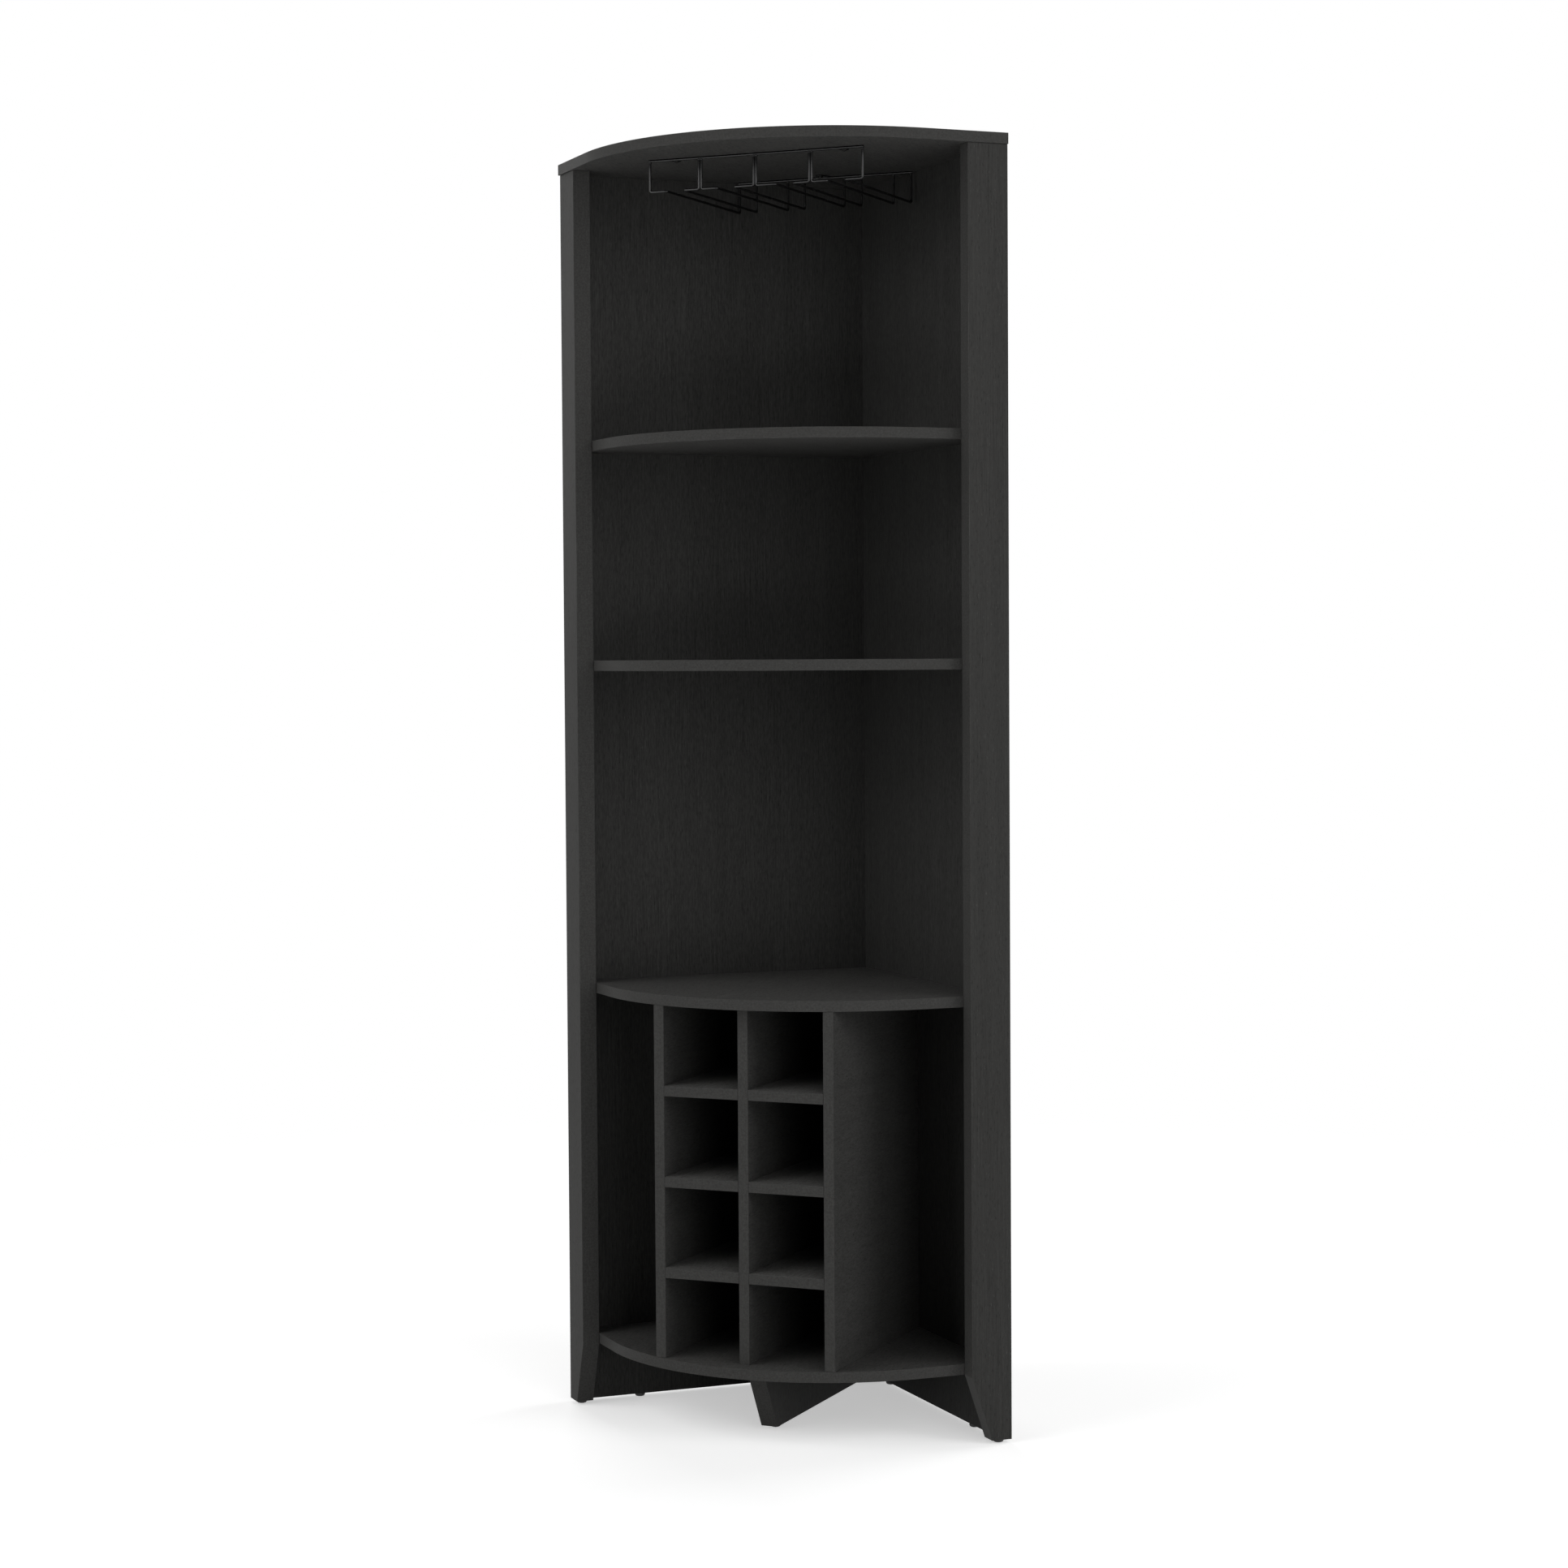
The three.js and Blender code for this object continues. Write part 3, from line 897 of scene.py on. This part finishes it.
@dataclass
class Boards:
    """The laminated boards of the cabinet."""

    colour: Colour = (0.040, 0.0396, 0.0382, 1.0)
    # The level boards are the same laminate as the uprights; their lighter colour is painted light on
    # their level faces.
    level_lit_colour: Colour = (0.062, 0.0614, 0.0592, 1.0)
    band_colour: Colour = (0.048, 0.0475, 0.0458, 1.0)
    softness: float = 0.6 * MM

    def build(self) -> None:
        """Builds every board."""
        panel = Laminate("laminate_panel_grain", Grain.UPRIGHT, self.colour).build()
        post = Laminate(
            "laminate_post_grain",
            Grain.UPRIGHT,
            self.colour,
            streak_reach=44.0,
            streak_contrast=0.55,
            fibre_contrast=0.3,
        ).build()
        divider = Laminate(
            "laminate_divider_grain",
            Grain.INWARD,
            self.colour,
            streak_reach=12.0,
            streak_contrast=0.45,
            fibre_reach=4.0,
        ).build()
        # The level boards' laminate, in the lighter colour that paints light on their level faces.
        across = Laminate(
            "laminate_level_grain_painted_light",
            Grain.INWARD,
            self.level_lit_colour,
            streak_reach=22.0,
            streak_contrast=0.9,
            fibre_contrast=0.9,
        ).build()
        tall_band = EdgeBand("edge_band_upright", Grain.UPRIGHT, self.band_colour).build()
        flat_band = EdgeBand("edge_band_level", Grain.ACROSS, self.band_colour).build()
        # The corner finishes lighten the softened corners: partly rubbed wear, partly a painted
        # highlight.
        tall_corner = EdgeBand(
            "edge_corner_upright_worn_highlight", Grain.UPRIGHT, self.band_colour, wear_and_highlight=0.5
        ).build()
        flat_corner = EdgeBand(
            "edge_corner_level_worn_highlight", Grain.ACROSS, self.band_colour, wear_and_highlight=0.5
        ).build()
        level = (across, flat_band, flat_corner)
        boards = self._upright_boards()
        contact = Contact([*boards, *self._level_boards()])
        for node, through in boards.items():
            face = {"post": post, "divider": divider}.get(node.rpartition("_")[2], panel)
            tall = (face, tall_band, tall_corner)
            ConvexPlate(node, through, self.softness, tall, contact=contact).build()
        for node in self._level_boards():
            ConvexPlate(node, UP, self.softness, level, contact=contact).build()

    @staticmethod
    def _upright_boards() -> dict[str, Vector]:
        """Each upright board and the direction through its thickness."""
        left_wall = Vector((DIAGONAL, -DIAGONAL, 0))
        right_wall = Vector((DIAGONAL, DIAGONAL, 0))
        sideways = Vector((1, 0, 0))
        return {
            "left_back_panel": left_wall,
            "right_back_panel": right_wall,
            "left_post": right_wall,
            "right_post": left_wall,
            "left_divider": sideways,
            "centre_divider": sideways,
            "right_divider": sideways,
            "centre_leg": sideways,
        }

    @staticmethod
    def _level_boards() -> list[str]:
        """The top, the shelves and the cubby shelves."""
        shelves = [f"{level}_shelf" for level in ("upper", "middle", "counter", "bottom")]
        rows = [f"{side}_cubby_shelf_{row}" for side in ("left", "right") for row in (1, 2, 3)]
        return ["top_panel", *shelves, *rows]


# Stemware rack


@dataclass
class StemwareRack:
    """Bent wires under two bars, with welded fixing ears and their screws."""

    wire_radius: float = 1.75 * MM
    bend_radius: float = 3.0 * MM
    bend_steps: int = 8
    wire_sides: int = 20
    ear_softness: float = 0.35 * MM
    bead_radius: float = 2.3 * MM
    head_radius: float = 3.5 * MM
    head_height: float = 2.2 * MM
    shank_radius: float = 1.75 * MM
    screw_length: float = 14.2 * MM
    recess_length: float = 1.9 * MM
    recess_width: float = 0.9 * MM
    recess_depth: float = 1.3 * MM

    def build(self, wires: GeometryTree, copies: GeometryTree) -> None:
        """Builds the rack.

        Args:
            wires: The tree that makes bent wire.
            copies: The tree that places copies.
        """
        coat = WireCoat("rack_wire_coat", (0.005, 0.005, 0.0051, 1.0)).build()
        joints: list[Place] = []
        for side in ("left", "right"):
            for number in (1, 2, 3, 4):
                node = f"rack_{side}_rail_{number}"
                path = self._rail_path(node, number)
                self._wire(wires, node, path, coat)
                joints += [Place(path[0], UP), Place(path[-1], UP)]
        for end in ("front", "rear"):
            node = f"rack_{end}_bar"
            self._wire(wires, node, self._bar_path(node), coat)
        for name in ("left", "right", "rear"):
            finishes = (coat, coat, coat)
            ConvexPlate(f"rack_{name}_tab", UP, self.ear_softness, finishes, Slot.WIRE, "ear").build()
            joints += self._ear_joints(f"rack_{name}_tab", name == "rear")
        bead = lofted("weld_bead", self._bead_rings(), 16)
        beads = Copies("rack_weld_beads", bead, joints, coat, math.tau, 0.12).build(copies)
        hand_over(beads, [])
        self._screws(copies)

    def _rail_path(self, node: str, number: int) -> list[Vector]:
        """The corners of a rail's wire, down the front upright, back along the rail and up."""
        low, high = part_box(node)
        r = self.wire_radius
        outer, inner = (low.x + r, high.x - r) if low.x + high.x < 0 else (high.x - r, low.x + r)
        upright, rail = (outer, inner) if number % 2 else (inner, outer)
        front, rear, level = low.y + r, high.y - r, low.z + r
        return [
            Vector((upright, front, high.z)),
            Vector((upright, front, level)),
            Vector((rail, front, level)),
            Vector((rail, rear, level)),
            Vector((rail, rear, high.z)),
        ]

    def _bar_path(self, node: str) -> list[Vector]:
        """The two ends of a bar's wire."""
        low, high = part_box(node)
        middle = (low + high) / 2
        return [Vector((x, middle.y, middle.z)) for x in (low.x, high.x)]

    def _wire(
        self, tree: GeometryTree, node: str, path: list[Vector], coat: bpy.types.Material
    ) -> None:
        """Makes one wire from its path and hands it over."""
        line = bpy.data.meshes.new(f"{node}_path")
        line.from_pydata(path, [(i, i + 1) for i in range(len(path) - 1)], [])
        values = {
            "Wire Radius": self.wire_radius,
            "Bend Radius": self.bend_radius,
            "Bend Steps": self.bend_steps,
            "Wire Sides": self.wire_sides,
            "Finish": coat,
        }
        wire = tree.apply(add_object(f"{node}_line", line), f"{node}_wire", values)
        wire.data.shade_smooth()
        wire.data.set_sharp_from_angle(angle=math.radians(60))
        hand_over(wire, [node])

    def _bead_rings(self) -> list[tuple[Outline, float]]:
        """A flattened drop of weld, fullest at its middle."""
        shares = [(0.35, -0.62), (0.8, -0.4), (1.0, 0.0), (0.85, 0.35), (0.45, 0.55)]
        radius = self.bead_radius
        return [(round_of(radius * width), radius * height) for width, height in shares]

    def _ear_joints(self, node: str, points_front: bool) -> list[Place]:
        """The weld beads at both ends of an ear's edge on its bar."""
        low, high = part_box(node)
        bar = high.y if points_front else low.y
        inset = 2 * self.bead_radius
        middle = (low.z + high.z) / 2
        return [Place(Vector((x, bar, middle)), UP) for x in (low.x + inset, high.x - inset)]

    def _screws(self, tree: GeometryTree) -> None:
        """Makes the blacked pan-head screws of the ears, heads down, each with a cross recess."""
        blacked = PlatedSteel(
            "blacked_steel", (0.014, 0.014, 0.0145, 1.0), (0.03, 0.029, 0.027, 1.0), 0.42
        ).build()
        crown = [
            (cross_of(0.3 * self.recess_length, 0.5 * self.recess_width), -self.recess_depth),
            (cross_of(self.recess_length, self.recess_width), 0.0),
            (round_of(0.62 * self.head_radius), -0.02 * self.head_height),
            (round_of(0.86 * self.head_radius), -0.18 * self.head_height),
            (round_of(0.98 * self.head_radius), -0.5 * self.head_height),
            (round_of(self.head_radius), -self.head_height),
        ]
        shank = thread(self.shank_radius, 0.8 * MM, 0.25 * MM, self.head_height, self.screw_length)
        screw = lofted("pan_head_screw", crown + shank, 48)
        nodes = [f"rack_{name}_screw" for name in ("left", "right", "rear")]
        places = []
        for node in nodes:
            low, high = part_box(node)
            middle = (low + high) / 2
            places.append(Place(Vector((middle.x, middle.y, low.z)), -UP))
        screws = Copies("rack_fixing_screws", screw, places, blacked, math.tau).build(tree)
        hand_over(screws, nodes)


def thread(
    radius: float, pitch: float, depth: float, start: float, end: float
) -> list[tuple[Outline, float]]:
    """The rings of a threaded shank that runs down from below a head to a point.

    Args:
        radius: The radius over the thread.
        pitch: The distance from ridge to ridge.
        depth: The depth of the thread.
        start: How far below the top of the head the shank starts.
        end: How far below the top of the head the point is.

    Returns:
        The rings, from the head to the point.
    """
    rings = [(round_of(radius - depth), -start)]
    taper = 2 * radius
    ridges = int((end - start - taper) / pitch)
    for ridge in range(ridges):
        height = start + (ridge + 0.5) * pitch
        rings.append((round_of(radius), -height))
        rings.append((round_of(radius - depth), -height - pitch / 2))
    rings.append((round_of(0.3 * radius), -end))
    return rings


# Hardware


@dataclass
class Hardware:
    """The screws and dowels that hold the boards, and the glides that they stand on."""

    screw_radius: float = 3 * MM
    screw_length: float = 45 * MM
    head_radius: float = 5 * MM
    head_height: float = 3.5 * MM
    socket_radius: float = 2.2 * MM
    socket_depth: float = 2.5 * MM
    dowel_radius: float = 4 * MM
    dowel_length: float = 30 * MM
    dowel_flutes: int = 12
    glide_radius: float = 7.5 * MM
    glide_height: float = 4.7 * MM
    glide_nail_radius: float = 1 * MM
    glide_length: float = 17 * MM

    def build(self, copies: GeometryTree) -> None:
        """Builds every piece of hardware.

        Args:
            copies: The tree that places copies.
        """
        self._assembly_screws(copies)
        self._dowels(copies)
        self._glides(copies)

    def _assembly_screws(self, tree: GeometryTree) -> None:
        """Makes the zinc plated countersunk screws with hexagon sockets."""
        zinc = PlatedSteel("zinc_plate", (0.55, 0.54, 0.5, 1.0), (0.42, 0.39, 0.31, 1.0)).build()
        head = [
            (hexagon_of(0.5 * self.socket_radius), -1.1 * self.socket_depth),
            (hexagon_of(self.socket_radius), -self.socket_depth),
            (hexagon_of(self.socket_radius), -0.12 * self.socket_depth),
            (hexagon_of(1.1 * self.socket_radius), 0.0),
            (round_of(0.93 * self.head_radius), 0.0),
            (round_of(self.head_radius), -0.1 * self.head_height),
            (round_of(self.screw_radius), -self.head_height),
        ]
        shank = thread(self.screw_radius, 3 * MM, 0.7 * MM, 12 * MM, self.screw_length)
        plain = [(round_of(self.screw_radius), -11.5 * MM)]
        screw = lofted("assembly_screw", head + plain + shank, 24)
        places: dict[str, Place] = {}
        backwards = {
            "left": Vector((-DIAGONAL, DIAGONAL, 0)),
            "right": Vector((DIAGONAL, DIAGONAL, 0)),
        }
        for side, facing in backwards.items():
            for level in ("upper", "middle", "counter", "bottom"):
                node = f"{level}_shelf_{side}_screw"
                places[node] = Place(self._end(node, facing), facing)
            for under in ("post", "panel"):
                node = f"top_{side}_{under}_screw"
                places[node] = Place(self._end(node, UP), UP)
        for number in (1, 2):
            node = f"leg_screw_{number}"
            places[node] = Place(self._end(node, UP), UP)
        made = Copies("assembly_screws", screw, list(places.values()), zinc, math.tau).build(tree)
        hand_over(made, places)

    def _end(self, node: str, facing: Vector) -> Vector:
        """The middle of a screw's head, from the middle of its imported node."""
        low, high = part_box(node)
        return (low + high) / 2 + facing * (self.screw_length / 2)

    def _dowels(self, tree: GeometryTree) -> None:
        """Makes the fluted dowels between the posts and the back panels."""
        beech = TurnedBeech(
            "turned_beech", (0.56, 0.38, 0.2, 1.0), (0.3, 0.16, 0.07, 1.0)
        ).build()
        half = self.dowel_length / 2
        radius = self.dowel_radius

        def fluted(angle: float) -> float:
            """The dowel's radius, with its flutes pressed in."""
            return radius * (0.97 + 0.03 * math.cos(self.dowel_flutes * angle))

        rings = [
            (round_of(0.75 * radius), -half),
            (fluted, -half + 0.25 * radius),
            (fluted, half - 0.25 * radius),
            (round_of(0.75 * radius), half),
        ]
        places: dict[str, Place] = {}
        for side, x in (("left", -DIAGONAL), ("right", DIAGONAL)):
            for number in (1, 2):
                node = f"{side}_post_dowel_{number}"
                low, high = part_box(node)
                places[node] = Place((low + high) / 2, Vector((x, -DIAGONAL, 0)))
        dowel = lofted("dowel", rings, 48)
        made = Copies("post_dowels", dowel, list(places.values()), beech, math.tau).build(tree)
        hand_over(made, places)

    def _glides(self, tree: GeometryTree) -> None:
        """Makes the nail-on glides, each with a domed rim and a shallow sole."""
        plastic = MouldedPlastic("glide_plastic", (0.017, 0.017, 0.017, 1.0)).build()
        radius, height, nail = self.glide_radius, self.glide_height, self.glide_nail_radius
        rim = [(0.4, 0.0), (0.62, 0.02), (0.8, 0.12), (0.93, 0.33), (0.99, 0.6), (1.0, 0.82), (0.97, 1.0)]
        rings = [(round_of(radius * width), height * up) for width, up in rim]
        rings += [(round_of(nail), height), (round_of(nail), self.glide_length - 2 * nail)]
        rings += [(round_of(0.2 * nail), self.glide_length)]
        sides = ("left", "right")
        nodes = [f"{side}_post_glide" for side in sides] + ["leg_glide"]
        nodes += [f"{side}_back_glide_{number}" for side in sides for number in (1, 2)]
        places = []
        for node in nodes:
            low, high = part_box(node)
            middle = (low + high) / 2
            places.append(Place(Vector((middle.x, middle.y, low.z)), UP))
        glide = lofted("glide", rings, 32)
        made = Copies("floor_glides", glide, places, plastic, math.tau).build(tree)
        hand_over(made, nodes)


# Studio


@dataclass(frozen=True)
class Lamp:
    """A soft rectangular lamp that is aimed at the cabinet."""

    name: str
    place: tuple[float, float, float]
    target: tuple[float, float, float]
    width: float
    height: float
    power: float

    def build(self) -> None:
        """Adds the lamp."""
        light = bpy.data.lights.new(self.name, "AREA")
        light.shape = "RECTANGLE"
        light.size = self.width
        light.size_y = self.height
        light.energy = self.power
        made = bpy.data.objects.new(self.name, light)
        made.visible_camera = False
        made.location = self.place
        aim = Vector(self.target) - Vector(self.place)
        made.rotation_euler = aim.to_track_quat("-Z", "Y").to_euler()
        bpy.context.scene.collection.objects.link(made)


@dataclass(frozen=True)
class Viewpoint:
    """The camera that took the photograph, solved from the cabinet's straight edges."""

    place: tuple[float, float, float] = (1.8035, -4.2959, 1.0927)
    yaw_degrees: float = 23.071
    pitch_degrees: float = -2.291
    roll_degrees: float = -0.350
    focal_pixels: float = 4004.16
    picture_pixels: int = 1932
    sensor_width: float = 36.0

    def build(self) -> None:
        """Adds the camera and makes it the scene's."""
        camera = bpy.data.cameras.new("viewpoint")
        camera.sensor_width = self.sensor_width
        camera.lens = self.focal_pixels / self.picture_pixels * self.sensor_width
        yaw, pitch, roll = map(
            math.radians, (self.yaw_degrees, self.pitch_degrees, self.roll_degrees)
        )
        ahead = Vector(
            (-math.sin(yaw) * math.cos(pitch), math.cos(yaw) * math.cos(pitch), math.sin(pitch))
        )
        level = Vector((math.cos(yaw), math.sin(yaw), 0))
        upright = level.cross(ahead)
        right = level * math.cos(roll) + upright * math.sin(roll)
        top = upright * math.cos(roll) - level * math.sin(roll)
        turn = Matrix((right, top, -ahead)).transposed().to_4x4()
        made = bpy.data.objects.new("viewpoint", camera)
        made.matrix_world = Matrix.Translation(self.place) @ turn
        bpy.context.scene.collection.objects.link(made)
        bpy.context.scene.camera = made


@dataclass
class Studio:
    """A pale floor, an even white surround and soft lamps."""

    lamps: tuple[Lamp, ...]
    surround: float = 0.03
    floor_radius: float = 8.0
    floor_sides: int = 96
    floor_colour: Colour = (0.86, 0.86, 0.86, 1.0)
    floor_lift: float = 0.48
    fade_start: float = 1.2
    fade_end: float = 3.0

    def build(self) -> None:
        """Builds the studio."""
        scene = bpy.context.scene
        scene.view_settings.view_transform = "Standard"
        self._surround(scene)
        self._floor()
        for lamp in self.lamps:
            lamp.build()
        Viewpoint().build()

    def _surround(self, scene: bpy.types.Scene) -> None:
        """An even surround, which is plain white where it is seen or mirrored."""
        world = bpy.data.worlds.new("surround")
        scene.world = world
        world.use_nodes = True
        world.node_tree.nodes.clear()
        tree = NodeTree(world.node_tree)
        inputs = {"Color": WHITE, "Strength": tree.seen() | self.surround}
        shader = tree.node("ShaderNodeBackground", None, inputs)
        output = world.node_tree.nodes.new("ShaderNodeOutputWorld")
        world.node_tree.links.new(shader.socket, output.inputs["Surface"])

    def _floor(self) -> None:
        """A round floor that takes the cabinet's shadow and fades into the surround."""
        shape = bmesh.new()
        bmesh.ops.create_circle(
            shape, cap_ends=True, segments=self.floor_sides, radius=self.floor_radius
        )
        mesh = bpy.data.meshes.new("studio_floor")
        shape.to_mesh(mesh)
        shape.free()
        material = bpy.data.materials.new("studio_floor")
        material.use_nodes = True
        material.node_tree.nodes.clear()
        tree = NodeTree(material.node_tree)
        seen = tree.seen()
        reach = tree.node("ShaderNodeVectorMath", {"operation": "LENGTH"}, {0: tree.place()}, "Value")
        far = tree.step(reach, self.fade_start, self.fade_end)
        matt = tree.node("ShaderNodeBsdfDiffuse", None, {"Color": self.floor_colour})
        lift = tree.node("ShaderNodeEmission", None, {"Color": WHITE, "Strength": seen * self.floor_lift})
        near = tree.node("ShaderNodeAddShader", None, {0: matt, 1: lift})
        plain = tree.node("ShaderNodeEmission", None, {"Color": WHITE, "Strength": 1.0})
        shader = tree.node("ShaderNodeMixShader", None, {0: far * seen, 1: near, 2: plain})
        Finish._end(tree, shader)
        mesh.materials.append(material)
        add_object("studio_floor", mesh)


LAMPS = (
    Lamp("left_high", (-2.6, -2.2, 3.2), (0.0, -0.1, 1.0), 2.0, 2.0, 38.0),
    Lamp("left_front", (-2.0, -4.0, 2.3), (0.0, -0.1, 1.0), 2.0, 2.5, 40.0),
    Lamp("left_side", (-3.6, -0.8, 1.9), (0.0, -0.1, 0.9), 2.0, 2.5, 10.0),
    Lamp("left_low", (-2.2, -2.6, 0.35), (0.0, -0.1, 1.3), 2.0, 0.6, 10.0),
    Lamp("right_high", (3.0, -1.8, 3.2), (0.0, -0.1, 1.0), 2.0, 2.0, 15.0),
    Lamp("right_front", (2.6, -3.2, 2.3), (0.0, -0.1, 1.0), 2.0, 2.5, 29.0),
    Lamp("right_side", (3.6, -0.6, 2.0), (0.0, -0.1, 0.9), 2.0, 2.5, 43.0),
    Lamp("right_low", (2.4, -2.4, 0.35), (0.0, -0.1, 1.3), 2.0, 0.6, 14.0),
    Lamp("rear_left", (-2.8, 3.2, 2.4), (0.0, 0.0, 1.0), 2.0, 2.0, 75.0),
    Lamp("rear_right", (2.4, 3.4, 2.0), (0.0, 0.0, 1.0), 2.0, 2.0, 68.0),
)


def main() -> None:
    """Builds the sub-assemblies and the studio."""
    logging.basicConfig(level=logging.INFO, format="%(name)s: %(message)s")
    wires = bent_wire_tree()
    copies = placed_copies_tree()
    Boards().build()
    StemwareRack().build(wires, copies)
    Hardware().build(copies)
    Studio(LAMPS).build()
    bpy.context.view_layer.update()


if __name__ == "__main__":
    main()
